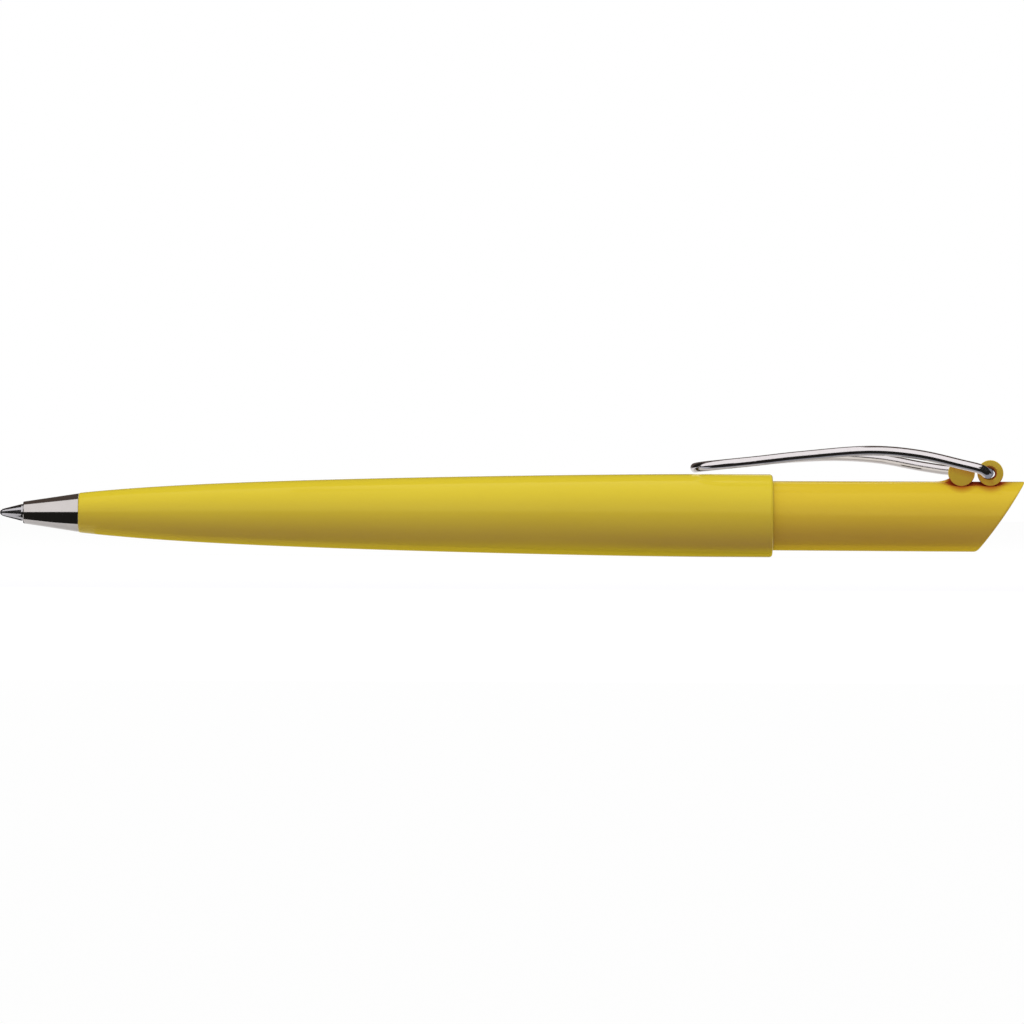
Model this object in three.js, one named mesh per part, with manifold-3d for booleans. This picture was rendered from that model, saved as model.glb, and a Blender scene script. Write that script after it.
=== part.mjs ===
// A push button ballpoint pen lying level, clip on top, with its writing point out.
// The pen is built along X from the front of the writing ball, radii are taken from its axis,
// and Z is up. All sizes are in millimetres.
import * as THREE from "three";
import { mergeVertices } from "three/addons/utils/BufferGeometryUtils.js";
import Module from "manifold-3d";

const wasm = await Module();
wasm.setup();

// Lengths along the pen, as seen from outside
const pointReach = 3.2; // point standing out of the nose cone
const noseLength = 7.6;
const barrelLength = 94.9;
const pusherShows = 34.3; // pusher standing out of the barrel, up to its top corner

// Barrel
const barrelFrontRadius = 2.71;
const barrelRearRadius = 5.67;
const barrelStraight = 7.7; // length at full radius behind the taper
const barrelNoseDraw = 0.88; // extra narrowing of the last stretch before the nose cone
const bellyPower = 1.55; // how late the long taper bends
const drawPower = 7; // how short the extra narrowing is
const barrelWall = 1.2;
const rimRound = 0.4;
const rearBoreDepth = 15.5;

// Nose cone and its thread
const noseFrontRadius = 1.5;
const noseRearRadius = 2.64;
const noseLip = 0.12;
const threadRadius = 2.1;
const threadLength = 4.5;
const threadRelief = 0.4; // bore left free behind the thread

// Refill, which reaches from the writing ball to the floor of the rotor's cup
const ballRadius = 0.4;
const ballHeld = 0.32; // how far behind the ball's front the socket's rim stands
const rimWall = 0.04;
const pointRadius = 1.15;
const pointBody = 4.3; // point's straight stretch behind the nose cone's front
const shankRadius = 0.8;
const shankLength = 3.4;
const inkChannel = 0.25;
const adapterLength = 10.6; // carrier's slim stretch, up to its collar
const adapterCollar = 0.9;
const adapterPlug = 3.7;
const tubeRadius = 1.5;
const tubeWall = 0.35;
const inkLength = 66;
const tailHead = 0.75;
const tailPlug = 3.2;
const ventRadius = 0.35;
const earReach = 0.5; // crimped ears standing out of the tube
const earThickness = 0.5;
const earLength = 1.6;

// Return spring, held between the nose cone and the ears
const springWire = 0.15;
const springCoil = 1.78;
const springTurns = 9;
const springLength = 17.4;

// Guide sleeve of the latch
const flangeRadius = 4.5;
const flangeLength = 6;
const sleeveRadius = 3.55;
const sleeveBore = 3.1;
const landBore = 2.55;
const landLength = 10.8;
const grooveWidth = 1.9;
const beadHeight = 0.37; // snap bead that keeps the pusher on, with a slope behind it
const beadLength = 1;

// Cam rotor and plunger
const ribs = 4;
const teeth = 8;
const toothRise = 1;
const toothSink = 0.3; // how far a toothed ring reaches into the body that carries it
const toothEdge = 0.03; // turn, in radians, over which a tooth drops back
const crownBore = 1.4;
const coreRadius = 2.3;
const stemRadius = 2.35;
const ribRadius = 2.95;
const ribWidth = 1.2;
const ribSlant = 0.6;
const rotorRib = 4.6;
const cupDepth = 4.4;
const cupFloorWall = 1.9;
const keyLength = 6.5;
const keySetback = 1.4; // keys start this far behind the crown's tips
const plungerDisc = 3;
const pressRoom = 2.05; // gap between the guide sleeve's end and the plunger's disc

// Pusher
const pusherFrontRadius = 4.74;
const pusherRearRadius = 4.82;
const pusherHidden = 13; // pusher inside the barrel
const pusherBore = 4.02;
const collarLength = 2;
const coreHollow = 3.2;
const coreLength = 4.5; // narrower hollow behind the plunger's disc
const endWall = 3.2; // plastic left between the hollow and the slanted end, at the bottom
const slantAngle = 33.4; // degrees off square
const topCorner = 0.3;
const bottomCorner = 0.8;
const travel = 5; // how far the pusher, refill and latch move back to draw the point in

// Clip lugs on the pusher
const lugHalfWidth = 2.5;
const frontLugSetback = 8.56; // lug centre in front of the pusher's top corner
const rearLugSetback = 4.62;
const lugHeight = 5.95; // lug centre above the axis
const frontLugRadius = 1.83;
const rearLugRadius = 1.79;
const lugHole = 0.95;
const holeRise = 0.12; // hole centre above the lug's own centre
const lugWeb = 0.3; // plastic left between the front lug's blind hole and the pen's middle
const filletRun = 1.6;
const filletRise = 0.55;
const filletHalfWidth = 1.25;

// Wire clip
const wireRadius = 0.65;
const clipReach = 10.6; // clip's front bend in front of the barrel's rear rim
const clipTipGap = 0.15;
const bendTwist = 0.15; // how far the front bend rises towards each leg
const bendRadius = 3.35;
const legGap = 0.2;
const hookInset = 0.7; // hook ends short of the pen's middle
const hookBend = 1;
const hookEase = 0.3; // how far the bend into a lug cuts its corner
// Each leg's arch: its crest behind the barrel's rim and above the pusher, and the points that the
// wire passes through, each as a distance behind the crest and a drop below it
const nearArch = {
  behindRim: 13.6,
  above: 3.48,
  rearPoints: [
    [11.8, 1.7],
    [6.3, 0.51],
  ],
  frontPoints: [[-9.8, 0.72]],
  hookRise: 0.29,
};
const farArch = {
  behindRim: 8.7,
  above: 2.73,
  rearPoints: [
    [14.6, 1.77],
    [11.4, 1.27],
    [6.2, 0.37],
  ],
  frontPoints: [[-8.5, 0.46]],
  hookRise: 0.2,
};
// Rise of the legs behind the front bend, above the bend's own height
const bendRise = 0.46;
const nearLegRun = 5;
const nearLegRise = 0.98;

// Running and seating clearances
const seatGap = 0.05;
const threadGap = 0.1;
const noseGap = 0.12;
const slideGap = 0.16;
const collarGap = 0.1;
const ballGap = 0.03;
const cupGap = 0.1;
const camGap = 0.3;
const stopGap = 0.3;
const crownGap = 0.2;

// Facets
const roundSides = 24;
const wireSides = 8;
const clipSteps = 72;
const springSides = 5;
const springSteps = 8 * springTurns;
const lugSides = 12; // segments of half a lug's circle
const taperSteps = 12;
const mergeDistance = 1e-4;
const overcut = 1; // how far a cutting shape passes the faces that it cuts

// Places along the pen that several pieces share
const noseFront = pointReach;
const barrelFront = noseFront + noseLength;
const barrelRear = barrelFront + barrelLength;
const pusherRear = barrelRear + pusherShows;
const threadRear = barrelFront + threadLength;
const pusherFront = barrelRear - pusherHidden;
const rearBoreFront = barrelRear - rearBoreDepth;
const seatFront = rearBoreFront - flangeLength;
const slantRun = 2 * pusherRearRadius * Math.tan(THREE.MathUtils.degToRad(slantAngle));
const hollowEnd = pusherRear - slantRun - endWall;
const plungerSeat = hollowEnd - coreLength;
const discFront = plungerSeat - plungerDisc;
const sleeveRear = discFront - pressRoom;
const landFront = sleeveRear - landLength;
const rotorRear = landFront - camGap;
const rotorBase = rotorRear - toothRise;
const cupFloor = rotorBase - cupFloorWall;
const refillLength = cupFloor - seatGap;
const crownFront = rotorRear + crownGap;
const collarRear = pusherFront + collarLength;
const beadFront = collarRear + travel + stopGap;
const springFront = threadRear + seatGap + springWire;
const springRear = springFront + springLength;
const earFront = springRear + springWire + seatGap;
const shankFront = noseFront + pointBody;
const adapterFront = shankFront + seatGap;
const adapterShoulder = adapterFront + adapterLength;
const tubeFront = adapterShoulder + adapterCollar + seatGap;
const plugRear = tubeFront + adapterPlug;
const tailFront = refillLength - tailHead;
const frontLugAlong = pusherRear - frontLugSetback;
const rearLugAlong = pusherRear - rearLugSetback;
const legSide = lugHalfWidth + legGap + wireRadius;
const threadBore = threadRadius + threadGap;
const seatBore = flangeRadius + seatGap;
const rearBore = pusherFrontRadius + slideGap;
const tubeBore = tubeRadius - tubeWall;
const plugRadius = tubeBore - seatGap;
const discRadius = pusherBore - seatGap;
const holeHeight = lugHeight + holeRise;

// A closed geometry as a solid that can be joined and cut.
function solid(geometry) {
  const bare = geometry.index ? geometry.toNonIndexed() : geometry.clone();
  bare.deleteAttribute("normal");
  bare.deleteAttribute("uv");
  const merged = mergeVertices(bare, mergeDistance);
  const corners = merged.index.array;
  const kept = [];
  for (let i = 0; i < corners.length; i += 3) {
    const [a, b, c] = corners.subarray(i, i + 3);
    if (a !== b && b !== c && c !== a) kept.push(a, b, c);
  }
  return new wasm.Manifold(
    new wasm.Mesh({
      numProp: 3,
      vertProperties: merged.attributes.position.array,
      triVerts: new Uint32Array(kept),
    }),
  );
}

// A solid as a geometry for a mesh.
function geometryOf(made) {
  const { vertProperties, triVerts } = made.getMesh();
  const geometry = new THREE.BufferGeometry();
  geometry.setAttribute("position", new THREE.Float32BufferAttribute(vertProperties, 3));
  geometry.setIndex(new THREE.BufferAttribute(new Uint32Array(triVerts), 1));
  geometry.computeVertexNormals();
  return geometry;
}

// A round piece about the pen's axis. The outline lists [along, radius] points, run rearwards over
// the outside and forwards through the bore. Flats face straight down, up and to both sides, and
// stand at the named radius.
function turned(outline) {
  const toCorner = 1 / Math.cos(Math.PI / roundSides);
  const points = outline.map(([along, radius]) => new THREE.Vector2(radius * toCorner, along));
  if (outline[0][1] > 0) points.push(points[0].clone());
  const geometry = new THREE.LatheGeometry(points, roundSides, Math.PI / roundSides);
  geometry.rotateZ(-Math.PI / 2);
  return solid(geometry);
}

// A block whose outline is drawn in the side view, along by height, centred on the pen's middle.
function sideBlock(outline, fromSide, toSide) {
  const depth = toSide - fromSide;
  const settings = { depth, bevelEnabled: false, curveSegments: lugSides };
  const geometry = new THREE.ExtrudeGeometry(outline, settings);
  geometry.rotateX(Math.PI / 2);
  geometry.translate(0, toSide, 0);
  return solid(geometry);
}

// A box that stands out from the axis, turned about it by a number of degrees.
function fin(front, rear, fromRadius, toRadius, width, turn) {
  const geometry = new THREE.BoxGeometry(rear - front, width, toRadius - fromRadius);
  geometry.translate((front + rear) / 2, 0, (fromRadius + toRadius) / 2);
  geometry.rotateX(THREE.MathUtils.degToRad(turn));
  return solid(geometry);
}

// A fin whose rear end is cut on a slant, as the latch's ribs are.
function slantedRib(front, rear, turn) {
  const outline = new THREE.Shape();
  outline.moveTo(front, -ribWidth / 2);
  outline.lineTo(rear - ribSlant, -ribWidth / 2);
  outline.lineTo(rear, ribWidth / 2);
  outline.lineTo(front, ribWidth / 2);
  outline.closePath();
  const root = coreRadius - toothSink;
  const geometry = new THREE.ExtrudeGeometry(outline, {
    depth: ribRadius - root,
    bevelEnabled: false,
  });
  geometry.translate(0, 0, root);
  geometry.rotateX(THREE.MathUtils.degToRad(turn));
  return solid(geometry);
}

// A ring about the axis with sawteeth on its front face. The tips stand at tip, and each tooth
// falls back by toothRise over its share of the turn.
function toothedRing(inner, outer, tip, rear) {
  const share = (2 * Math.PI) / teeth;
  const stops = [];
  for (let tooth = 0; tooth < teeth; tooth += 1) {
    const start = tooth * share;
    stops.push([start, tip]);
    stops.push([start + share / 2, tip + toothRise / 2]);
    stops.push([start + share - toothEdge, tip + toothRise]);
  }
  const corners = [];
  for (const [turn, front] of stops) {
    for (const [along, radius] of [
      [front, inner],
      [front, outer],
      [rear, outer],
      [rear, inner],
    ]) {
      corners.push(along, radius * Math.cos(turn), radius * Math.sin(turn));
    }
  }
  const faces = [];
  for (let here = 0; here < stops.length; here += 1) {
    const next = (here + 1) % stops.length;
    for (let side = 0; side < 4; side += 1) {
      const after = (side + 1) % 4;
      const a = here * 4 + side;
      const b = here * 4 + after;
      const c = next * 4 + after;
      const d = next * 4 + side;
      faces.push(a, c, b, a, d, c);
    }
  }
  const geometry = new THREE.BufferGeometry();
  geometry.setAttribute("position", new THREE.Float32BufferAttribute(corners, 3));
  geometry.setIndex(faces);
  return solid(geometry);
}

// A wire of the given radius along a curve.
function wire(curve, radius, sides, steps) {
  const section = new THREE.Shape();
  for (let side = 0; side < sides; side += 1) {
    const turn = (2 * Math.PI * side) / sides;
    const across = radius * Math.cos(turn);
    const up = radius * Math.sin(turn);
    if (side === 0) section.moveTo(across, up);
    else section.lineTo(across, up);
  }
  section.closePath();
  const settings = { steps, extrudePath: curve, bevelEnabled: false };
  return solid(new THREE.ExtrudeGeometry(section, settings));
}

// The coil of the return spring.
class Coil extends THREE.Curve {
  getPoint(share, target = new THREE.Vector3()) {
    const turn = 2 * Math.PI * springTurns * share;
    const along = springFront + springLength * share;
    return target.set(along, springCoil * Math.cos(turn), springCoil * Math.sin(turn));
  }
}

// Outside radius of the barrel at a place along the pen.
function barrelRadiusAt(along) {
  const straightFront = barrelRear - barrelStraight;
  const ahead = Math.max(0, (straightFront - along) / (straightFront - barrelFront));
  const belly = barrelRearRadius - barrelFrontRadius - barrelNoseDraw;
  return barrelRearRadius - belly * ahead ** bellyPower - barrelNoseDraw * ahead ** drawPower;
}

function makeBarrel() {
  const outside = [];
  const straightFront = barrelRear - barrelStraight;
  for (let step = 0; step <= taperSteps; step += 1) {
    const along = barrelFront + ((straightFront - barrelFront) * step) / taperSteps;
    outside.push([along, barrelRadiusAt(along)]);
  }
  const boreFront = threadRear + threadRelief;
  const inside = [];
  for (let step = taperSteps; step >= 1; step -= 1) {
    const along = boreFront + ((seatFront - boreFront) * step) / taperSteps;
    inside.push([along, Math.max(threadBore, barrelRadiusAt(along) - barrelWall)]);
  }
  const rimTurn = Math.PI / 4;
  return turned([
    [barrelFront, threadBore],
    ...outside,
    [barrelRear - rimRound, barrelRearRadius],
    [
      barrelRear - rimRound * (1 - Math.sin(rimTurn)),
      barrelRearRadius - rimRound * (1 - Math.cos(rimTurn)),
    ],
    [barrelRear, barrelRearRadius - rimRound],
    [barrelRear, rearBore],
    [rearBoreFront, rearBore],
    [rearBoreFront, seatBore],
    [seatFront, seatBore],
    ...inside,
    [boreFront, threadBore],
  ]);
}

function makeNoseCone() {
  const bore = pointRadius + noseGap;
  return turned([
    [noseFront, bore],
    [noseFront, noseFrontRadius - noseLip],
    [noseFront + noseLip, noseFrontRadius],
    [barrelFront - seatGap, noseRearRadius],
    [barrelFront - seatGap, threadRadius],
    [threadRear, threadRadius],
    [threadRear, bore],
  ]);
}

function makeRefillPoint() {
  const socket = ballRadius + ballGap;
  const rimRadius = Math.sqrt(socket ** 2 - (ballRadius - ballHeld) ** 2);
  const shankRear = shankFront + shankLength;
  const fromTurn = Math.asin(inkChannel / socket);
  const toTurn = Math.PI - Math.asin(rimRadius / socket);
  const socketSteps = 6;
  const seat = [];
  for (let step = 0; step < socketSteps; step += 1) {
    const turn = fromTurn + ((toTurn - fromTurn) * step) / socketSteps;
    seat.push([ballRadius + socket * Math.cos(turn), socket * Math.sin(turn)]);
  }
  return turned([
    [ballHeld, rimRadius],
    [ballHeld, rimRadius + rimWall],
    [noseFront, pointRadius],
    [shankFront, pointRadius],
    [shankFront, shankRadius],
    [shankRear, shankRadius],
    [shankRear, inkChannel],
    ...seat,
  ]);
}

function makeWritingBall() {
  const around = 16;
  const fromPoleToPole = 10;
  const geometry = new THREE.SphereGeometry(ballRadius, around, fromPoleToPole);
  geometry.rotateZ(-Math.PI / 2);
  geometry.translate(ballRadius, 0, 0);
  return solid(geometry);
}

function makeAdapter() {
  const socketRear = shankFront + shankLength + seatGap;
  return turned([
    [adapterFront, shankRadius + seatGap],
    [adapterFront, pointRadius],
    [adapterShoulder, pointRadius],
    [adapterShoulder, tubeRadius],
    [adapterShoulder + adapterCollar, tubeRadius],
    [adapterShoulder + adapterCollar, plugRadius],
    [plugRear, plugRadius],
    [plugRear, inkChannel],
    [socketRear, inkChannel],
    [socketRear, shankRadius + seatGap],
  ]);
}

function makeRefillTube() {
  const tube = turned([
    [tubeFront, tubeBore],
    [tubeFront, tubeRadius],
    [tailFront - seatGap, tubeRadius],
    [tailFront - seatGap, tubeBore],
  ]);
  const earRoot = tubeRadius - tubeWall / 2;
  const earTop = tubeRadius + earReach;
  const upper = fin(earFront, earFront + earLength, earRoot, earTop, earThickness, 0);
  const lower = fin(earFront, earFront + earLength, earRoot, earTop, earThickness, 180);
  return tube.add(upper).add(lower);
}

function makeInkColumn() {
  const inkFront = plugRear + seatGap;
  return turned([
    [inkFront, 0],
    [inkFront, plugRadius],
    [inkFront + inkLength, plugRadius],
    [inkFront + inkLength, 0],
  ]);
}

function makeTailPlug() {
  return turned([
    [tailFront - tailPlug, ventRadius],
    [tailFront - tailPlug, plugRadius],
    [tailFront, plugRadius],
    [tailFront, tubeRadius],
    [refillLength, tubeRadius],
    [refillLength, ventRadius],
  ]);
}

function makeGuideSleeve() {
  const beadRear = beadFront + beadLength;
  const beadRadius = sleeveRadius + beadHeight;
  const tube = turned([
    [seatFront + seatGap, sleeveBore],
    [seatFront + seatGap, flangeRadius],
    [rearBoreFront, flangeRadius],
    [rearBoreFront, sleeveRadius],
    [beadFront, sleeveRadius],
    [beadFront, beadRadius],
    [beadRear, beadRadius],
    [beadRear + beadHeight, sleeveRadius],
    [sleeveRear, sleeveRadius],
    [sleeveRear, sleeveBore],
  ]);
  const landRoot = (sleeveBore + sleeveRadius) / 2;
  let lands = toothedRing(landBore, landRoot, landFront, sleeveRear);
  for (let rib = 0; rib < ribs; rib += 1) {
    const turn = (360 * rib) / ribs;
    const groove = fin(
      landFront - overcut,
      sleeveRear + overcut,
      0,
      landRoot + overcut,
      grooveWidth,
      turn,
    );
    lands = lands.subtract(groove);
  }
  return tube.add(lands);
}

function makeCamRotor() {
  const cupFront = cupFloor - cupDepth;
  const cupBore = tubeRadius + cupGap;
  let rotor = turned([
    [cupFloor, 0],
    [cupFloor, cupBore],
    [cupFront, cupBore],
    [cupFront, coreRadius],
    [rotorBase, coreRadius],
    [rotorBase, 0],
  ]);
  const crown = toothedRing(crownBore, coreRadius, -toothRise, toothSink);
  rotor = rotor.add(crown.rotate([0, 180, 0]).translate([rotorBase, 0, 0]));
  for (let rib = 0; rib < ribs; rib += 1) {
    rotor = rotor.add(slantedRib(rotorRear - rotorRib, rotorRear, (360 * rib) / ribs));
  }
  return rotor;
}

function makePlunger() {
  const crownBase = crownFront + toothRise;
  let plunger = turned([
    [crownBase, crownBore],
    [crownBase, stemRadius],
    [discFront, stemRadius],
    [discFront, discRadius],
    [plungerSeat - seatGap, discRadius],
    [plungerSeat - seatGap, crownBore],
  ]);
  plunger = plunger.add(toothedRing(crownBore, stemRadius, crownFront, crownBase + toothSink));
  const keyFront = crownFront + keySetback;
  for (let rib = 0; rib < ribs; rib += 1) {
    const turn = (360 * rib) / ribs;
    const root = stemRadius - toothSink;
    plunger = plunger.add(fin(keyFront, keyFront + keyLength, root, ribRadius, ribWidth, turn));
  }
  return plunger;
}

// The pusher's side view: square at the front, slanted at the rear, with eased corners.
function pusherSideView() {
  const height = pusherRearRadius;
  const bottomRear = pusherRear - slantRun;
  const slope = THREE.MathUtils.degToRad(slantAngle);
  const outline = new THREE.Shape();
  outline.moveTo(pusherFront - overcut, -height - overcut);
  outline.lineTo(bottomRear - bottomCorner, -height - overcut);
  outline.lineTo(bottomRear - bottomCorner, -height);
  outline.quadraticCurveTo(
    bottomRear,
    -height,
    bottomRear + bottomCorner * Math.sin(slope),
    -height + bottomCorner * Math.cos(slope),
  );
  outline.lineTo(pusherRear, height - topCorner);
  outline.quadraticCurveTo(pusherRear, height, pusherRear - topCorner, height);
  outline.lineTo(pusherRear - topCorner, height + overcut);
  outline.lineTo(pusherFront - overcut, height + overcut);
  outline.closePath();
  return outline;
}

// A lug or its hole, seen from the side.
function circle(along, height, radius) {
  const outline = new THREE.Shape();
  outline.absarc(along, height, radius, 0, 2 * Math.PI);
  return outline;
}

// The small fillet that eases the pusher's top into the front lug.
function filletSideView() {
  const top = pusherRearRadius;
  const lugFront = frontLugAlong - frontLugRadius;
  const outline = new THREE.Shape();
  outline.moveTo(lugFront - filletRun, top - filletRise);
  outline.lineTo(lugFront - filletRun, top);
  outline.quadraticCurveTo(lugFront, top, lugFront + filletRise / 2, top + filletRise);
  outline.lineTo(frontLugAlong, top + filletRise);
  outline.lineTo(frontLugAlong, top - filletRise);
  outline.closePath();
  return outline;
}

function makePusher() {
  const collarBore = sleeveRadius + collarGap;
  const round = turned([
    [hollowEnd, 0],
    [hollowEnd, coreHollow],
    [plungerSeat, coreHollow],
    [plungerSeat, pusherBore],
    [collarRear, pusherBore],
    [collarRear, collarBore],
    [pusherFront, collarBore],
    [pusherFront, pusherFrontRadius],
    [barrelRear, pusherFrontRadius],
    [pusherRear, pusherRearRadius],
    [pusherRear, 0],
  ]);
  const farOut = pusherRearRadius + overcut;
  const body = round.intersect(sideBlock(pusherSideView(), -farOut, farOut));
  const farFace = lugHalfWidth + overcut;
  return body
    .add(sideBlock(circle(frontLugAlong, lugHeight, frontLugRadius), -lugHalfWidth, lugHalfWidth))
    .add(sideBlock(circle(rearLugAlong, lugHeight, rearLugRadius), -lugHalfWidth, lugHalfWidth))
    .add(sideBlock(filletSideView(), -filletHalfWidth, filletHalfWidth))
    .subtract(sideBlock(circle(frontLugAlong, holeHeight, lugHole), lugWeb, farFace))
    .subtract(sideBlock(circle(rearLugAlong, holeHeight, lugHole), -farFace, farFace));
}

// The points of a leg's arch, on one side of the pen.
function archPoints(arch, list, side) {
  const crestAlong = barrelRear + arch.behindRim;
  const crestHeight = pusherRearRadius + arch.above + wireRadius;
  return list.map(([behind, drop]) => [crestAlong + behind, side, crestHeight - drop]);
}

// A hook from a leg into its lug's hole, listed from the hook's end outwards.
function hookPoints(lugAlong, side, rise) {
  const outward = Math.sign(side);
  return [
    [lugAlong, outward * hookInset, holeHeight],
    [lugAlong, outward * (lugHalfWidth - hookEase), holeHeight],
    [lugAlong - hookEase, side - outward * hookEase, holeHeight],
    [lugAlong - hookBend, side, holeHeight + rise],
  ];
}

// The clip's centre line: out of the rear lug on the near side, forward over the near arch, round
// the front bend, and back over the lower far arch into the front lug.
function clipCurve() {
  const bendFront = barrelRear - clipReach;
  const bendCentre = bendFront + bendRadius;
  const bendHeight = barrelRearRadius + clipTipGap + wireRadius;
  const crest = [[0, 0]];
  const bendOut = bendRadius * Math.cos(Math.PI / 4);
  const points = [
    ...hookPoints(rearLugAlong, -legSide, nearArch.hookRise),
    ...archPoints(nearArch, nearArch.rearPoints, -legSide),
    ...archPoints(nearArch, crest, -legSide),
    ...archPoints(nearArch, nearArch.frontPoints, -legSide),
    [bendCentre + nearLegRun, -legSide, bendHeight + nearLegRise],
    [bendCentre, -legSide, bendHeight + bendRise],
    [bendCentre - bendOut, -bendOut, bendHeight + bendTwist],
    [bendFront, 0, bendHeight],
    [bendCentre - bendOut, bendOut, bendHeight + bendTwist],
    [bendCentre, legSide, bendHeight + bendRise],
    ...archPoints(farArch, farArch.frontPoints, legSide),
    ...archPoints(farArch, crest, legSide),
    ...archPoints(farArch, farArch.rearPoints, legSide).reverse(),
    ...hookPoints(frontLugAlong, legSide, farArch.hookRise).reverse(),
  ];
  const places = points.map(([along, side, height]) => new THREE.Vector3(along, side, height));
  return new THREE.CatmullRomCurve3(places, false, "centripetal");
}

// Finishes
const yellowPlastic = { color: 0xdcc42c, roughness: 0.28, metalness: 0 };
const warmYellowPlastic = { color: 0xd6b830, roughness: 0.3, metalness: 0 };
const brightMetal = { color: 0xcfcac8, roughness: 0.15, metalness: 1 };
const springSteel = { color: 0xb9b6b2, roughness: 0.25, metalness: 1 };
const carbide = { color: 0x8f8f94, roughness: 0.2, metalness: 1 };
const clearPlastic = { color: 0xe6e4dc, roughness: 0.4, metalness: 0 };
const blueInk = { color: 0x18235c, roughness: 0.5, metalness: 0 };
const whitePlastic = { color: 0xe9e6df, roughness: 0.45, metalness: 0 };
const blackPlastic = { color: 0x2a2a2c, roughness: 0.45, metalness: 0 };

const pen = new THREE.Group();

function place(name, made, finish) {
  const mesh = new THREE.Mesh(geometryOf(made), new THREE.MeshStandardMaterial(finish));
  mesh.name = name;
  pen.add(mesh);
}

place("barrel", makeBarrel(), yellowPlastic);
place("nose_cone", makeNoseCone(), brightMetal);
place("refill_point", makeRefillPoint(), brightMetal);
place("writing_ball", makeWritingBall(), carbide);
place("refill_adapter", makeAdapter(), whitePlastic);
place("refill_tube", makeRefillTube(), clearPlastic);
place("ink_column", makeInkColumn(), blueInk);
place("refill_tail_plug", makeTailPlug(), blackPlastic);
place("return_spring", wire(new Coil(), springWire, springSides, springSteps), springSteel);
place("guide_sleeve", makeGuideSleeve(), whitePlastic);
place("cam_rotor", makeCamRotor(), blackPlastic);
place("plunger", makePlunger(), whitePlastic);
place("pusher", makePusher(), warmYellowPlastic);
place("wire_clip", wire(clipCurve(), wireRadius, wireSides, clipSteps), springSteel);

// The origin is at the middle of the pen's length, under the barrel's lowest flat.
pen.position.set(-pusherRear / 2, 0, barrelRearRadius);
const part = new THREE.Group();
part.add(pen);

export default part;
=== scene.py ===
import math

import bmesh
import bpy
import numpy as np
from mathutils import Matrix, Vector


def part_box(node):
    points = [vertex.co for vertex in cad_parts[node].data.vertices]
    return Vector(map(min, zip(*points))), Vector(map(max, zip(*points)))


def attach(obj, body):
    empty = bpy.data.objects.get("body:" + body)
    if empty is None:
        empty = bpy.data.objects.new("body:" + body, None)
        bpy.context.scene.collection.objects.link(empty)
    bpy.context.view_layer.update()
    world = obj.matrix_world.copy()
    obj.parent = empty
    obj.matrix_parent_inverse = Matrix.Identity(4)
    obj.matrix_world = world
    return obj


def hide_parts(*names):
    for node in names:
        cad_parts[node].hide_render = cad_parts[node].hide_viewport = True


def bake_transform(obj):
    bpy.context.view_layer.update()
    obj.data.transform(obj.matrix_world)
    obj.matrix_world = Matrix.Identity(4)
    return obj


MM = 0.001
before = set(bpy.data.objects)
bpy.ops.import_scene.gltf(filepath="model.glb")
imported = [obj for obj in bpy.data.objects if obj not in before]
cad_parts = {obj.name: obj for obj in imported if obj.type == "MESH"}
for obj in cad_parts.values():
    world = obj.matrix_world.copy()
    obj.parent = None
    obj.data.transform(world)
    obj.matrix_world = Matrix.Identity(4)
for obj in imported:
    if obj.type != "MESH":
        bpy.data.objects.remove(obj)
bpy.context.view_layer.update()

barrel_low, barrel_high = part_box("barrel")
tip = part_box("writing_ball")[0].x
axis_height = (barrel_low.z + barrel_high.z) / 2


def reach(node):
    """Front and rear of a CAD node, along the pen."""
    low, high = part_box(node)
    return (low.x - tip) / MM, (high.x - tip) / MM


def radius_of(node):
    low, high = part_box(node)
    return (high.y - low.y) / 2 / MM


barrel_front, barrel_rear = reach("barrel")
nose_front, thread_rear = reach("nose_cone")
point_front, shank_rear = reach("refill_point")
spring_front, spring_rear = reach("return_spring")
sleeve_front = reach("guide_sleeve")[0]
plunger_rear = reach("plunger")[1]
pusher_front, pusher_rear = reach("pusher")
barrel_radius = radius_of("barrel")
nose_radius = radius_of("nose_cone")
point_radius = radius_of("refill_point")
ball_radius = radius_of("writing_ball")
flange_radius = radius_of("guide_sleeve")

# The lugs that carry the clip: the push button's painted shade follows their places too.
lug_height = 5.95
front_lug = pusher_rear - 8.56
rear_lug = pusher_rear - 4.62
front_lug_radius = 1.83
rear_lug_radius = 1.79


# Mesh helpers

def piece_of(name, points, faces, sharp=35):
    mesh = bpy.data.meshes.new(name)
    placed = np.asarray(points, float) * MM + (tip, 0, axis_height)
    mesh.from_pydata(placed.tolist(), [], faces)
    piece = bpy.data.objects.new(name, mesh)
    bpy.context.scene.collection.objects.link(piece)
    smooth(mesh, sharp)
    return piece


def smooth(mesh, sharp):
    """Turns the faces outwards and shades them smooth up to the sharp angle, in degrees."""
    shape = bmesh.new()
    shape.from_mesh(mesh)
    bmesh.ops.recalc_face_normals(shape, faces=shape.faces)
    shape.to_mesh(mesh)
    shape.free()
    mesh.shade_smooth()
    mesh.set_sharp_from_angle(angle=math.radians(sharp))


def skin(rows, closed=False):
    """Points and faces of a surface through rings of points. A ring of one point is a pole."""
    rows = [np.asarray(row, float).reshape(-1, 3) for row in rows]
    counts = [len(row) for row in rows]
    starts = np.concatenate([[0], np.cumsum(counts)[:-1]]).tolist()
    pairs = [(here, here + 1) for here in range(len(rows) - 1)]
    if closed:
        pairs.append((len(rows) - 1, 0))
    faces = []
    for a, b in pairs:
        sides = max(counts[a], counts[b])
        for side in range(sides):
            after = (side + 1) % sides
            a0, a1 = (starts[a] + (k if counts[a] > 1 else 0) for k in (side, after))
            b0, b1 = (starts[b] + (k if counts[b] > 1 else 0) for k in (side, after))
            if counts[a] == 1:
                faces.append((a0, b0, b1))
            elif counts[b] == 1:
                faces.append((a0, b0, a1))
            else:
                faces.append((a0, b0, b1, a1))
    return np.concatenate(rows), faces


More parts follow.
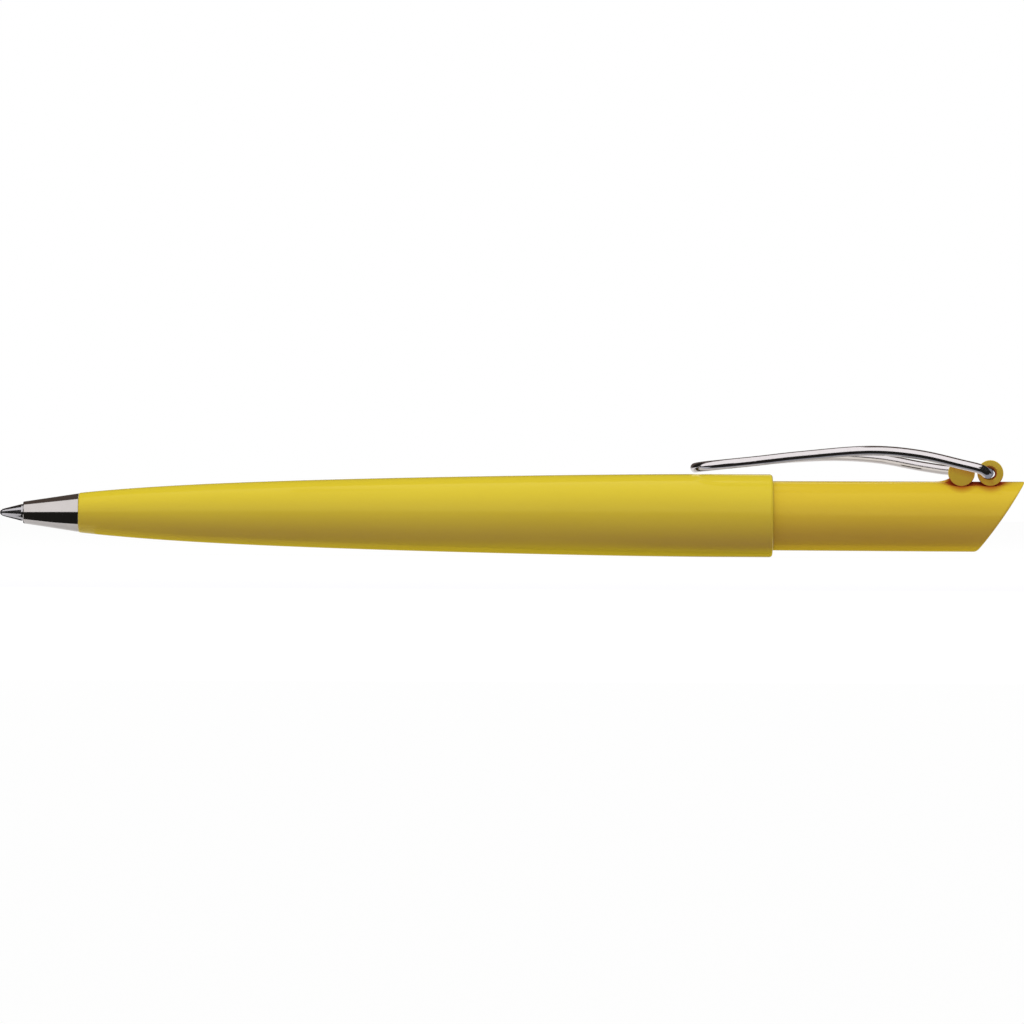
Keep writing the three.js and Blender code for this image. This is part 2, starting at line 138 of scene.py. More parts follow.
def circle(sides):
    """The angles of points round a circle."""
    return np.linspace(0, 2 * math.pi, sides, endpoint=False)


def ring(along, radius, sides):
    """Points round the pen's axis. Along and radius are numbers, or have a value for each."""
    if np.ndim(radius) == 0 and radius == 0:
        return [(along, 0, 0)]
    turn = circle(sides)
    return np.stack([np.full(sides, along, float), radius * np.sin(turn), radius * np.cos(turn)], 1)


def supported(outline, closed, gap=0.04, turn=4):
    """Adds a point on each side of a corner, so that the shading stays flat between corners."""
    points = np.asarray(outline, float)
    count = len(points)
    directions = np.roll(points, -1, axis=0) - points
    lengths = np.linalg.norm(directions, axis=1)
    units = directions / np.maximum(lengths, 1e-9)[:, None]
    made = []
    for i in range(count):
        before, here = units[i - 1], units[i]
        bends = before @ here < math.cos(math.radians(turn))
        first, last = i == 0 and not closed, i == count - 1 and not closed
        if bends and not first and lengths[i - 1] > 3 * gap:
            made.append(tuple(points[i] - before * gap))
        made.append(tuple(points[i]))
        if bends and not last and lengths[i] > 3 * gap:
            made.append(tuple(points[i] + here * gap))
    return made


def turned(name, outline, sides=96, sharp=35):
    """A round piece from (along, radius) points, closed through its bore where it has one."""
    has_bore = outline[0][1] > 0
    rows = [ring(along, radius, sides) for along, radius in supported(outline, has_bore)]
    return piece_of(name, *skin(rows, closed=has_bore), sharp=sharp)


def arc(centre, radius, start, stop, steps):
    """(along, radius) points on an arc. Angles are in degrees from +along towards outwards."""
    turns = np.radians(np.linspace(start, stop, steps + 1))
    return [
        (centre[0] + radius * math.cos(t), centre[1] + radius * math.sin(t)) for t in turns
    ]


def pin(name, along, height, outline, sides=72):
    """A round piece across the pen, from (side, half width, half height, shift along, shift
    up) points."""
    turn = circle(sides)
    rows = [
        np.stack(
            [
                along + ahead - wide * np.sin(turn),
                np.full(sides, float(side)),
                height + up + high * np.cos(turn),
            ],
            1,
        )
        for side, wide, high, ahead, up in outline
    ]
    front, back = ([row.mean(axis=0)] for row in (rows[0], rows[-1]))
    return piece_of(name, *skin([front, *rows, back]))


def tube_along(name, path, radius, sides):
    """A wire of the given radius along a list of points, with rounded ends."""
    path = np.asarray(path, float)
    tangents = np.gradient(path, axis=0)
    tangents /= np.linalg.norm(tangents, axis=1)[:, None]
    across = np.cross(tangents[0], (0, 0, 1))
    turn = circle(sides)
    spots = []
    for here, tangent in zip(path, tangents):
        across = across - tangent * (across @ tangent)
        across /= np.linalg.norm(across)
        spots.append((here, tangent, across, np.cross(tangent, across)))

    def section(spot, size, inwards=0.0):
        here, tangent, side, up = spot
        out = np.outer(np.cos(turn), side) + np.outer(np.sin(turn), up)
        return here + tangent * inwards + out * size

    cap = radius * 0.5
    cap_steps = np.radians([75, 55, 30])
    rows = [[path[0]]]
    rows += [
        section(spots[0], radius * math.cos(t), cap * (1 - math.sin(t))) for t in cap_steps
    ]
    rows += [
        section(spot, radius)
        for spot in spots
        if min(np.linalg.norm(spot[0] - end) for end in (path[0], path[-1])) > cap
    ]
    rows += [
        section(spots[-1], radius * math.cos(t), -cap * (1 - math.sin(t)))
        for t in reversed(cap_steps)
    ]
    rows += [[path[-1]]]
    return piece_of(name, *skin(rows), sharp=50)


def combine(piece, other, operation, sharp=30):
    """Joins or cuts a piece with another closed one, which is used up."""
    step = piece.modifiers.new("combine", "BOOLEAN")
    step.operation = operation
    step.solver = "EXACT"
    step.object = other
    bpy.context.view_layer.update()
    made = bpy.data.meshes.new_from_object(
        piece.evaluated_get(bpy.context.evaluated_depsgraph_get())
    )
    piece.modifiers.remove(step)
    old = piece.data
    piece.data = made
    bpy.data.meshes.remove(old)
    bpy.data.objects.remove(other)
    smooth(made, sharp)


def smooth_curve(points, steps):
    """Points along a centripetal Catmull-Rom curve, the same curve as the CAD wire's, with so
    many steps to a millimetre."""
    points = np.asarray(points, float)
    ends = [2 * points[0] - points[1], *points, 2 * points[-1] - points[-2]]
    found = []
    for p0, p1, p2, p3 in zip(ends, ends[1:], ends[2:], ends[3:]):
        d0, d1, d2 = (
            math.sqrt(np.linalg.norm(b - a)) for a, b in ((p0, p1), (p1, p2), (p2, p3))
        )
        t1 = ((p1 - p0) / d0 - (p2 - p0) / (d0 + d1) + (p2 - p1) / d1) * d1
        t2 = ((p2 - p1) / d1 - (p3 - p1) / (d1 + d2) + (p3 - p2) / d2) * d1
        count = max(3, round(steps * np.linalg.norm(p2 - p1)))
        for t in np.linspace(0, 1, count, endpoint=False):
            found.append(
                p1 + t1 * t + (3 * (p2 - p1) - 2 * t1 - t2) * t**2
                + (2 * (p1 - p2) + t1 + t2) * t**3
            )
    return np.array(found + [points[-1]])


# Materials

def linear(colour):
    """A colour from 0 to 255, as it shows on screen, as the shader's numbers."""
    parts = [c / 255 for c in colour]
    return tuple(p / 12.92 if p <= 0.04045 else ((p + 0.055) / 1.055) ** 2.4 for p in parts)


class Nodes:
    """Adds nodes to the tree of a material or world."""

    def __init__(self, owner, clear=True):
        owner.use_nodes = True
        self.tree = owner.node_tree
        if clear:
            self.tree.nodes.clear()

    def node(self, kind, **settings):
        made = self.tree.nodes.new(kind)
        for key, value in settings.items():
            setattr(made, key, value)
        return made

    def put(self, value, socket):
        """Gives a socket a number or a colour, or links it to another node's output."""
        if isinstance(value, (int, float)):
            socket.default_value = value
        elif isinstance(value, tuple):
            socket.default_value = (*value, 1)
        else:
            self.tree.links.new(value, socket)

    def maths(self, operation, *values):
        step = self.node("ShaderNodeMath", operation=operation)
        for value, socket in zip(values, step.inputs):
            self.put(value, socket)
        return step.outputs["Value"]

    def stretch(self, value, start, end, low=0.0, high=1.0):
        """Maps start to end onto low to high, and keeps it between them."""
        step = self.node("ShaderNodeMapRange")
        spans = {"Value": value, "From Min": start, "From Max": end, "To Min": low, "To Max": high}
        for name, part in spans.items():
            self.put(part, step.inputs[name])
        return step.outputs["Result"]

    def mix(self, share, first, second, **settings):
        """A mix of two colours."""
        step = self.node("ShaderNodeMix", data_type="RGBA", **settings)
        for name, value in (("Factor", share), ("A", first), ("B", second)):
            self.put(value, step.inputs[name])
        return step.outputs["Result"]

    def blend(self, share, first, second):
        """A mix of two shaders."""
        step = self.node("ShaderNodeMixShader")
        self.put(share, step.inputs["Fac"])
        self.put(first, step.inputs[1])
        self.put(second, step.inputs[2])
        return step.outputs["Shader"]

    def show(self, surface, kind="ShaderNodeOutputMaterial"):
        self.put(surface, self.node(kind).inputs["Surface"])


# How the push button's painted shade is laid into its colour. Lengths are in millimetres.
painted_shade_reach = 2.4
painted_shade_span = (0.55, 0.92)
# Reach and height of the painted shade round the foot of each lug.
lug_shade_span = (-0.05, 1.0)
lug_shade_top = (-0.9, -0.3)
face_turn = 0.97
# A painted darkening of the lugs' flat faces.
lug_face_shade = (0.77, 0.77, 1.0)
# Where the wire's painted shadow lies on the lugs' faces, and how it fades.
wire_shadow_line = (pusher_rear - 6.6, 5.9)
wire_shadow_slope = -0.32
shadow_below_wire = (0.0, 1.1, 0.5, 1.0)
shadow_above_wire = (-1.2, -0.9, 1.0, 0.0)
shadow_past_hook = (-0.3, 0.6)
# How far the gloss fades in the painted shade.
shaded_gloss_span = (0.2, 0.9, 0.0, 0.5)


class Finish(Nodes):
    """A node material: the principled shader, and textures in the pen's own coordinates."""

    def __init__(self, name, **constants):
        self.made = bpy.data.materials.new(name)
        super().__init__(self.made, clear=False)
        self.shader = self.tree.nodes["Principled BSDF"]
        for key, value in constants.items():
            self.put(value, self.socket(key.replace("_", " ").title().replace("Ior", "IOR")))

    def socket(self, name):
        return self.shader.inputs[name]

    def noise(self, size, detail=2, stretch=(1, 1, 1), seed=0.0):
        """Noise of features about size millimetres across, longer where stretch is above 1."""
        where = self.node("ShaderNodeTexCoord")
        fit = self.node("ShaderNodeMapping")
        fit.inputs["Scale"].default_value = tuple(1 / (size * MM * s) for s in stretch)
        fit.inputs["Location"].default_value = (seed, seed * 1.7, seed * 2.3)
        texture = self.node("ShaderNodeTexNoise")
        self.put(1.0, texture.inputs["Scale"])
        self.put(detail, texture.inputs["Detail"])
        self.put(where.outputs["Object"], fit.inputs["Vector"])
        self.put(fit.outputs["Vector"], texture.inputs["Vector"])
        return texture.outputs["Fac"]

    def ranged(self, value, low, high):
        """A noise value spread from low to high."""
        return self.stretch(value, 0.3, 0.7, low, high)

    def colours(self, value, first, second):
        colour = self.mix(self.ranged(value, 0, 1), first, second)
        self.put(colour, self.socket("Base Color"))

    def off_lug_shade(self, place, along, radius):
        """From 0 at the foot of a lug's rim to 1 where the painted shade round it ends."""
        ahead = self.maths("SUBTRACT", place.outputs["X"], tip + along * MM)
        above = self.maths("SUBTRACT", place.outputs["Z"], axis_height + lug_height * MM)
        squares = (self.maths("MULTIPLY", run, run) for run in (ahead, above))
        away = self.maths("SQRT", self.maths("ADD", *squares))
        lug_ring_shade = self.stretch(away, *((radius + run) * MM for run in lug_shade_span))
        high_up = self.stretch(above, *(run * MM for run in lug_shade_top))
        return self.maths("MAXIMUM", lug_ring_shade, high_up)

    def clear_of_wire_shadow(self, place):
        """The painted shadow of the wire on the lugs' faces: lower below the wire's lower edge than
        away from it.
        """
        start = tip + wire_shadow_line[0] * MM
        drop = self.maths("MULTIPLY", self.maths("SUBTRACT", place.outputs["X"], start), wire_shadow_slope)
        line = self.maths("ADD", drop, axis_height + wire_shadow_line[1] * MM)
        under = self.maths("SUBTRACT", line, place.outputs["Z"])
        clear = self.maths(
            "MAXIMUM",
            *(
                self.stretch(under, start * MM, end * MM, low, high)
                for start, end, low, high in (shadow_below_wire, shadow_above_wire)
            ),
        )
        last = tip + rear_lug * MM
        past_end = self.stretch(place.outputs["X"], *(last + run * MM for run in shadow_past_hook))
        return self.maths("MAXIMUM", clear, past_end)

    def shade(self, colour):
        """Paints shade into the colour: a red-brown painted shade in crevices and round the foot of
        the lugs, for shade and for light coming through the moulding, and a painted shadow of the
        wire on the lugs' flat faces."""
        source = self.socket("Base Color").links[0].from_socket
        where = self.node("ShaderNodeTexCoord")
        place, facing = (self.node("ShaderNodeSeparateXYZ") for _ in range(2))
        self.put(where.outputs["Object"], place.inputs["Vector"])
        self.put(where.outputs["Normal"], facing.inputs["Vector"])
        # Ambient occlusion picks where the red-brown painted shade goes.
        open_sky = self.node("ShaderNodeAmbientOcclusion", only_local=True, samples=12)
        self.put(painted_shade_reach * MM, open_sky.inputs["Distance"])
        clear = self.stretch(open_sky.outputs["AO"], *painted_shade_span)
        for along, radius in ((front_lug, front_lug_radius), (rear_lug, rear_lug_radius)):
            clear = self.maths("MINIMUM", clear, self.off_lug_shade(place, along, radius))

        across = self.maths("ABSOLUTE", facing.outputs["Y"])
        lowest = axis_height + (lug_height - front_lug_radius) * MM
        is_lug = self.maths(
            "MULTIPLY",
            self.maths("GREATER_THAN", across, face_turn),
            self.maths("GREATER_THAN", place.outputs["Z"], lowest),
        )
        clear = self.maths(
            "ADD",
            self.maths("MULTIPLY", clear, self.maths("SUBTRACT", 1.0, is_lug)),
            self.maths("MULTIPLY", self.clear_of_wire_shadow(place), is_lug),
        )
        # The lugs' flat faces are painted darker all over, as painted shade.
        shaded_face = self.mix(is_lug, source, lug_face_shade, blend_type="MULTIPLY")
        self.put(self.mix(clear, colour, shaded_face), self.socket("Base Color"))
        # The gloss fades where shade is painted, a painted loss of reflection in the crevices.
        self.put(self.stretch(clear, *shaded_gloss_span), self.socket("Specular IOR Level"))

    def rough(self, value, low, high):
        self.put(self.ranged(value, low, high), self.socket("Roughness"))

    def bump(self, *heights):
        """Surface relief from (noise value, height in millimetres) pairs."""
        before = None
        for value, height in heights:
            step = self.node("ShaderNodeBump")
            self.put(1.0, step.inputs["Strength"])
            self.put(height * MM, step.inputs["Distance"])
            self.put(value, step.inputs["Height"])
            if before is not None:
                self.put(before, step.inputs["Normal"])
            before = step.outputs["Normal"]
        self.put(before, self.socket("Normal"))


def moulded(name, light, deep, tint, roughness=(0.1, 0.16), painted_shade=None):
    """Glossy opaque moulding: faint flow marks in the colour, and a slight waviness."""
    finish = Finish(name, ior=1.46, specular_tint=tint)
    finish.colours(finish.noise(6, 4, stretch=(6, 1, 1)), linear(light), linear(deep))
    # With a shade colour given, shade is painted into the crevices, round the lugs and under the
    # wire.
    if painted_shade:
        finish.shade(linear(painted_shade))
    finish.rough(finish.noise(1.2, 4, seed=3.1), *roughness)
    finish.bump(
        (finish.noise(2.4, 2, stretch=(3, 1, 1), seed=7.7), 0.0012),
        (finish.noise(0.12, 2, seed=1.3), 0.00004),
    )
    return finish.made


def plated(name, light, deep, roughness, stretch, line=0.06):
    """Bright metal with the fine marks of turning or drawing."""
    finish = Finish(name, metallic=1.0)
    finish.colours(finish.noise(1.6, 3, seed=2.2), linear(light), linear(deep))
    finish.rough(finish.noise(line, 3, stretch=stretch, seed=5.5), *roughness)
    finish.bump((finish.noise(line, 2, stretch=stretch), 0.00012))
    return finish.made


def plain(name, light, deep, roughness, grain):
    """Inner mouldings: a fine even grain."""
    finish = Finish(name, ior=1.48)
    finish.colours(finish.noise(grain * 8, 3), linear(light), linear(deep))
    finish.rough(finish.noise(grain, 3, seed=4.4), *roughness)
    finish.bump((finish.noise(grain, 3, seed=8.8), grain * 0.01))
    return finish.made


ROUND = (1, 60, 60)
ALONG = (60, 1, 1)
barrel_plastic = moulded("barrel_moulding", (219, 198, 46), (215, 193, 42), (1.0, 0.88, 0.3))
# The push button gets a red-brown painted shade in its crevices, round its lugs and under the wire.
pusher_plastic = moulded(
    "pusher_moulding", (219, 190, 44), (215, 185, 40), (1.0, 0.88, 0.25), painted_shade=(158, 62, 24)
)
nose_chrome = plated("nose_plating", (203, 198, 197), (199, 194, 192), (0.06, 0.12), ROUND)
clip_chrome = plated("clip_plating", (226, 221, 224), (220, 215, 216), (0.07, 0.13), ALONG)
point_metal = plated("point_turning", (196, 194, 199), (184, 182, 186), (0.12, 0.2), ROUND, 0.04)
ball_metal = plated("ball_grinding", (112, 112, 118), (98, 98, 104), (0.08, 0.14), (1, 1, 1), 0.05)
spring_steel = plated("spring_wire", (190, 187, 183), (170, 166, 160), (0.18, 0.3), (4, 1, 1))
tube_plastic = plain("tube_extrusion", (228, 226, 217), (221, 218, 207), (0.3, 0.42), 0.3)
ink_paste = plain("ink_paste", (28, 38, 122), (20, 28, 98), (0.15, 0.3), 0.4)
carrier_plastic = plain("carrier_moulding", (232, 230, 223), (225, 222, 214), (0.35, 0.48), 0.2)
plug_plastic = plain("plug_moulding", (44, 44, 47), (36, 36, 38), (0.35, 0.5), 0.2)
latch_plastic = plain("latch_moulding", (232, 229, 220), (224, 221, 211), (0.32, 0.45), 0.2)
rotor_plastic = plain("rotor_moulding", (48, 48, 52), (38, 38, 41), (0.32, 0.46), 0.2)


def dress(piece, finish, body, slot, *nodes):
    piece.data.materials.clear()
    piece.data.materials.append(finish)
    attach(piece, body)
    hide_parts(*nodes)


# Barrel

straight_front = barrel_rear - 7.7
barrel_belly = 2.08
belly_curve = 1.55
nose_draw = 0.88
draw_curve = 7
front_run = 0.34
front_drop = 0.12
thread_bore = 2.2
thread_relief = 0.4
rear_bore = 4.9
rear_bore_front = barrel_rear - 15.5
bore_edge = 0.08
seat_gap = 0.05
seat_front = sleeve_front - seat_gap
seat_radius = flange_radius + seat_gap
barrel_wall = 1.2
rim_round = 0.4
rim_support = 3


def barrel_radius_at(along):
    ahead = max(0.0, (straight_front - along) / (straight_front - barrel_front))
    return barrel_radius - barrel_belly * ahead**belly_curve - nose_draw * ahead**draw_curve


barrel_outline = [(barrel_front, thread_bore)]
for turn in np.linspace(0, 1, 7) * math.pi / 2:
    along = barrel_front + front_run * (1 - math.cos(turn))
    barrel_outline.append((along, barrel_radius_at(along) - front_drop * (1 - math.sin(turn))))
for along in np.linspace(barrel_front + front_run, straight_front, 90)[1:]:
    barrel_outline.append((along, barrel_radius_at(along)))
barrel_outline += [
    (barrel_rear - rim_round - rim_support, barrel_radius),
    *arc((barrel_rear - rim_round, barrel_radius - rim_round), rim_round, 90, 0, 8),
    (barrel_rear, rear_bore + bore_edge),
    (barrel_rear - bore_edge, rear_bore),
    (rear_bore_front, rear_bore),
    (rear_bore_front, seat_radius),
    (seat_front, seat_radius),
]
bore_front = thread_rear + thread_relief
for along in np.linspace(seat_front, bore_front, 40):
    barrel_outline.append((along, max(thread_bore, barrel_radius_at(along) - barrel_wall)))
barrel_outline.append((bore_front, thread_bore))
barrel = turned("barrel_shell", barrel_outline, sides=160)
dress(barrel, barrel_plastic, "barrel_body", "barrel_plastic", "barrel")


# Nose cone, with the thread that holds it in the barrel

nose_front_radius = 1.5
nose_round = 0.12
nose_rear = barrel_front - 0.015
nose_bore = point_radius + 0.12
mouth_edge = 0.06
shoulder_edge = 0.02
thread_radius = 2.1
thread_pitch = 0.75
thread_depth = 0.24
thread_slope = 3.2
thread_crest = 0.3
run_in = 0.5
run_out = 0.35
root_radius = thread_radius - thread_depth
nose_sides = 120
nose_share = circle(nose_sides) / (2 * math.pi)


def thread_ring(along):
    phase = (along / thread_pitch - nose_share) % 1.0
    inset = thread_depth * np.clip(abs(phase - 0.5) * thread_slope - thread_crest, 0, 1)
    start = min(1.0, (along - nose_rear) / run_in, (thread_rear - along) / run_out)
    return ring(along, root_radius + (thread_depth - inset) * max(0.0, start), nose_sides)


nose_outline = [
    (nose_front + mouth_edge, nose_bore),
    (nose_front, nose_bore + mouth_edge),
    *arc((nose_front + nose_round, nose_front_radius - nose_round), nose_round, 180, 99, 5),
    (nose_rear - shoulder_edge, nose_radius - 0.003),
    (nose_rear, nose_radius - shoulder_edge),
    (nose_rear, root_radius),
]
nose_rows = [
    ring(along, radius, nose_sides) for along, radius in supported(nose_outline, closed=False)
]
nose_rows += [thread_ring(along) for along in np.arange(nose_rear + 0.05, thread_rear, 0.09)]
nose_rows += [
    ring(thread_rear, root_radius - 0.02, nose_sides),
    ring(thread_rear, nose_bore, nose_sides),
]
nose = piece_of("nose_cone_shell", *skin(nose_rows, closed=True), sharp=35)
dress(nose, nose_chrome, "nose_body", "nose_chrome", "nose_cone")


# Refill's point and ball, and the return spring

ball_gap = 0.03
socket_radius = ball_radius + ball_gap
rim_radius = math.sqrt(socket_radius**2 - (ball_radius - point_front) ** 2)
cone_front_radius = 0.55
shank_front = shank_rear - 3.4
shank_radius = 0.8
shank_edge = 0.08
shoulder = 0.05
channel = 0.25
socket_arc = [
    (ball_radius + socket_radius * math.cos(t), socket_radius * math.sin(t))
    for t in np.linspace(
        math.asin(channel / socket_radius), math.pi - math.asin(rim_radius / socket_radius), 8
    )
]
point = turned(
    "refill_point_turned",
    [
        (point_front, rim_radius + 0.005),
        (point_front, rim_radius + 0.03),
        (point_front + 0.03, rim_radius + 0.05),
        (point_front + 0.28, cone_front_radius - 0.01),
        (point_front + 0.3, cone_front_radius),
        (nose_front - 0.26, point_radius - 0.01),
        (nose_front - 0.22, point_radius),
        (shank_front - shoulder, point_radius),
        (shank_front, point_radius - shoulder),
        (shank_front, shank_radius),
        (shank_rear - shank_edge, shank_radius),
        (shank_rear, shank_radius - shank_edge),
        (shank_rear, channel),
        *socket_arc[:-1],
    ],
    sharp=25,
)
dress(point, point_metal, "refill_body", "point_metal", "refill_point")

ball_outline = arc((ball_radius, 0), ball_radius, 180, 0, 24)
ball_outline[0] = (0, 0)
ball_outline[-1] = (2 * ball_radius, 0)
ball = turned("writing_ball_ground", ball_outline, sides=48)
dress(ball, ball_metal, "ball_body", "ball_metal", "writing_ball")

spring_wire = 0.15
spring_coil = radius_of("return_spring") - spring_wire
spring_turns = 9
closed_turns = 1.25
closed_rise = 2 * spring_wire * 1.04
closed_length = closed_turns * closed_rise
coil_start = spring_front + spring_wire
coil_stop = spring_rear - spring_wire
coil_points = []
for share in np.linspace(0, 1, 60 * spring_turns + 1):
    turns = share * spring_turns
    if turns < closed_turns:
        along = coil_start + turns * closed_rise
    elif turns > spring_turns - closed_turns:
        along = coil_stop - (spring_turns - turns) * closed_rise
    else:
        part = (turns - closed_turns) / (spring_turns - 2 * closed_turns)
        along = coil_start + closed_length + part * (coil_stop - coil_start - 2 * closed_length)
    turn = 2 * math.pi * turns
    coil_points.append((along, spring_coil * math.cos(turn), spring_coil * math.sin(turn)))
spring = tube_along("return_spring_coil", coil_points, spring_wire, 10)
spring.data.materials.append(spring_steel)
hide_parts("return_spring")
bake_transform(spring)


# Push button, with its slanted end and the two lugs

pusher_front_radius = 4.74
pusher_rear_radius = 4.82
pusher_edge = 0.1
collar_length = 2
collar_bore = 3.65
pusher_bore = 4.02
core_hollow = 3.2
plunger_seat = plunger_rear + seat_gap
hollow_end = plunger_seat + 4.5
slant = 0.6827
slant_top = pusher_rear + 0.27
slant_bulge = 0.15
bulge_curve = 1.3
top_corner = 0.36
bottom_corner = 0.5
corner_curve = 0.8
face_dome = 0.12
pusher_sides = 160
upwards = np.cos(circle(pusher_sides))


def pusher_radius_at(along):
    share = np.maximum(0.0, (along - barrel_rear) / (pusher_rear - barrel_rear))
    return pusher_front_radius + (pusher_rear_radius - pusher_front_radius) * share


# The slanted end's sharp corner all round, which a curve from wall to face then rounds off.
corner = ring(
    slant_top
    - pusher_rear_radius * (1 - upwards) * slant
    + slant_bulge * (1 - upwards**2) ** bulge_curve,
    pusher_rear_radius,
    pusher_sides,
)
face_middle = np.array([slant_top - pusher_rear_radius * slant + slant_bulge, 0, 0])
face_out = np.array([1, 0, -slant]) / math.hypot(1, slant)
ease = bottom_corner + (top_corner - bottom_corner) * (0.5 + 0.5 * upwards) ** corner_curve
wall_start = corner - np.outer(ease, (1, 0, 0))
inwards = face_middle - corner
inwards /= np.linalg.norm(inwards, axis=1)[:, None]
face_start = corner + inwards * ease[:, None]

pusher_outline = [
    (hollow_end, 0),
    (hollow_end, core_hollow),
    (plunger_seat, core_hollow),
    (plunger_seat, pusher_bore),
    (pusher_front + collar_length, pusher_bore),
    (pusher_front + collar_length, collar_bore),
    (pusher_front, collar_bore),
    (pusher_front, pusher_front_radius - pusher_edge),
    (pusher_front + pusher_edge, pusher_front_radius),
    (barrel_rear, pusher_front_radius),
]
pusher_rows = [ring(along, radius, pusher_sides) for along, radius in pusher_outline]
for share in np.linspace(0, 1, 25)[1:]:
    along = barrel_rear + (wall_start[:, 0] - barrel_rear) * share
    pusher_rows.append(ring(along, pusher_radius_at(along), pusher_sides))
wall_end = pusher_rows[-1]
for t in np.linspace(0, 1, 9)[1:]:
    pusher_rows.append(
        wall_end * (1 - t) ** 2 + corner * 2 * t * (1 - t) + face_start * t**2
    )
face_edge = pusher_rows[-1]
edge_curve = (face_edge[:, 2] / pusher_rear_radius) ** 2
for share in np.linspace(1, 0, 14)[1:-1]:
    rim = face_middle + (face_edge - face_middle) * share
    rim[:, 0] += slant_bulge * (edge_curve * share - (rim[:, 2] / pusher_rear_radius) ** 2)
    pusher_rows.append(rim + face_out * face_dome * (1 - share**2))
pusher_rows.append([face_middle + face_out * face_dome])
pusher = piece_of("pusher_shell", *skin(pusher_rows), sharp=30)

lug_half = 2.5
lug_edge = 0.1
lug_draft = 0.27
hole_height = lug_height + 0.12
far_out = lug_half + 0.5
# Half width, half height, and shifts along and up, with room for the hooks' swing.
front_room = (0.92, 0.98, -0.12, 0.04)
rear_mouth = (1.08, 0.99, -0.15, -0.07)
rear_seat = (0.88, 0.86, -0.16, -0.2)
rear_ledge = (0.72, 0.56, 0, -0.19)
rear_back = (0.95, 0.95, 0.06, 0)
rear_back_mouth = (1.0, 1.0, 0.1, 0)


def lug(name, along, radius):
    near = [
        (-lug_half + lug_edge * (1 - math.sin(t)), radius - lug_edge * (1 - math.cos(t)))
        for t in np.radians([90, 70, 50, 30, 10])
    ]
    far = [(-side, rim - lug_draft) for side, rim in reversed(near)]
    return pin(name, along, lug_height, [(side, rim, rim, 0, 0) for side, rim in near + far])


fillet_run = 1.7
fillet_overlap = 0.55
fillet_rise = 0.6
fillet_half = 1.3
fillet_rows = []
for share in np.linspace(0, 1, 13):
    along = front_lug - front_lug_radius - fillet_run + share * (fillet_run + fillet_overlap)
    top = pusher_rear_radius - 0.02 + fillet_rise * share**2.2
    half = fillet_half * (0.55 + 0.45 * share)
    across = np.linspace(-1, 1, 15)
    crown = [(along, half * a, top - 0.5 * fillet_rise * abs(a) ** 3) for a in across]
    under = [(along, half * a, pusher_rear_radius - 0.9) for a in reversed(across)]
    fillet_rows.append(crown + under)
fillet_points, fillet_faces = skin(fillet_rows)
count = len(fillet_rows[0])
fillet_faces.append(tuple(range(count)))
fillet_faces.append(tuple(range(len(fillet_points) - count, len(fillet_points))))
fillet = piece_of("fillet", fillet_points, fillet_faces)

combine(pusher, lug("front_lug", front_lug, front_lug_radius), "UNION")
combine(pusher, lug("rear_lug", rear_lug, rear_lug_radius), "UNION")
combine(pusher, fillet, "UNION")
# The front hole is blind. The rear one narrows to a seat and a ledge, and widens behind them.
holes = {
    "front_hole": (front_lug, [(0.3, *front_room), (far_out, *front_room)]),
    "rear_hole": (
        rear_lug,
        [
            (-far_out, *rear_mouth),
            (-lug_half, *rear_mouth),
            (-2.1, *rear_seat),
            (-0.66, *rear_seat),
            (-0.62, *rear_ledge),
            (-0.3, *rear_ledge),
            (0.2, *rear_back),
            (far_out, *rear_back_mouth),
        ],
    ),
}
for name, (along, outline) in holes.items():
    combine(pusher, pin(name, along, hole_height, outline), "DIFFERENCE")
dress(pusher, pusher_plastic, "pusher_body", "pusher_plastic", "pusher")


# Wire clip

wire_radius = 0.68
leg_side = lug_half + 0.2 + wire_radius
bend_front = barrel_rear - 10.57
bend_middle = bend_front + leg_side
bend_out = leg_side * math.sqrt(0.5)
bend_height = barrel_radius + 0.17 + wire_radius
near_crest = np.array([barrel_rear + 13.6, -leg_side, pusher_rear_radius + 3.443 + wire_radius])
far_crest = np.array([barrel_rear + 8.7, leg_side, pusher_rear_radius + 2.742 + wire_radius])
hook_end = 0.7
hook_bend = 0.3
leg_start = 1.1


def hook(along, side, rise, ahead, up):
    """From a hook's end, out of its lug, to where the leg begins."""
    out = math.copysign(1, side)
    return [
        (along + ahead, out * hook_end, hole_height + up),
        (along + ahead, out * (lug_half - hook_bend), hole_height + up),
        (along + ahead - hook_bend, side - out * hook_bend, hole_height + up),
        (along - leg_start, side, hole_height + rise),
    ]


def beside(crest, points):
    """A leg's points from how far behind its crest and below it they are."""
    return [(crest[0] + behind, crest[1], crest[2] - drop) for behind, drop in points]


clip_points = [
    *hook(rear_lug, -leg_side, 0.309, -0.22, -0.14),
    *beside(near_crest, [(11.8, 1.73), (6.3, 0.52), (0, 0), (-9.8, 0.763)]),
    (bend_middle + 5, -leg_side, bend_height + 0.966),
    (bend_middle, -leg_side, bend_height + 0.434),
    (bend_middle - bend_out, -bend_out, bend_height + 0.176),
    (bend_front, 0, bend_height),
    (bend_middle - bend_out, bend_out, bend_height + 0.16),
    (bend_middle, leg_side, bend_height + 0.442),
    (bend_middle + 5, leg_side, bend_height + 0.969),
    *beside(far_crest, [(-8.5, 0.473), (0, 0), (6.2, 0.363), (11.4, 1.284), (14.6, 1.778)]),
    *reversed(hook(front_lug, leg_side, 0.23, -0.18, -0.1)),
]
clip = tube_along("wire_clip_bent", smooth_curve(clip_points, 6), wire_radius, 28)
dress(clip, clip_chrome, "clip_body", "clip_chrome", "wire_clip")

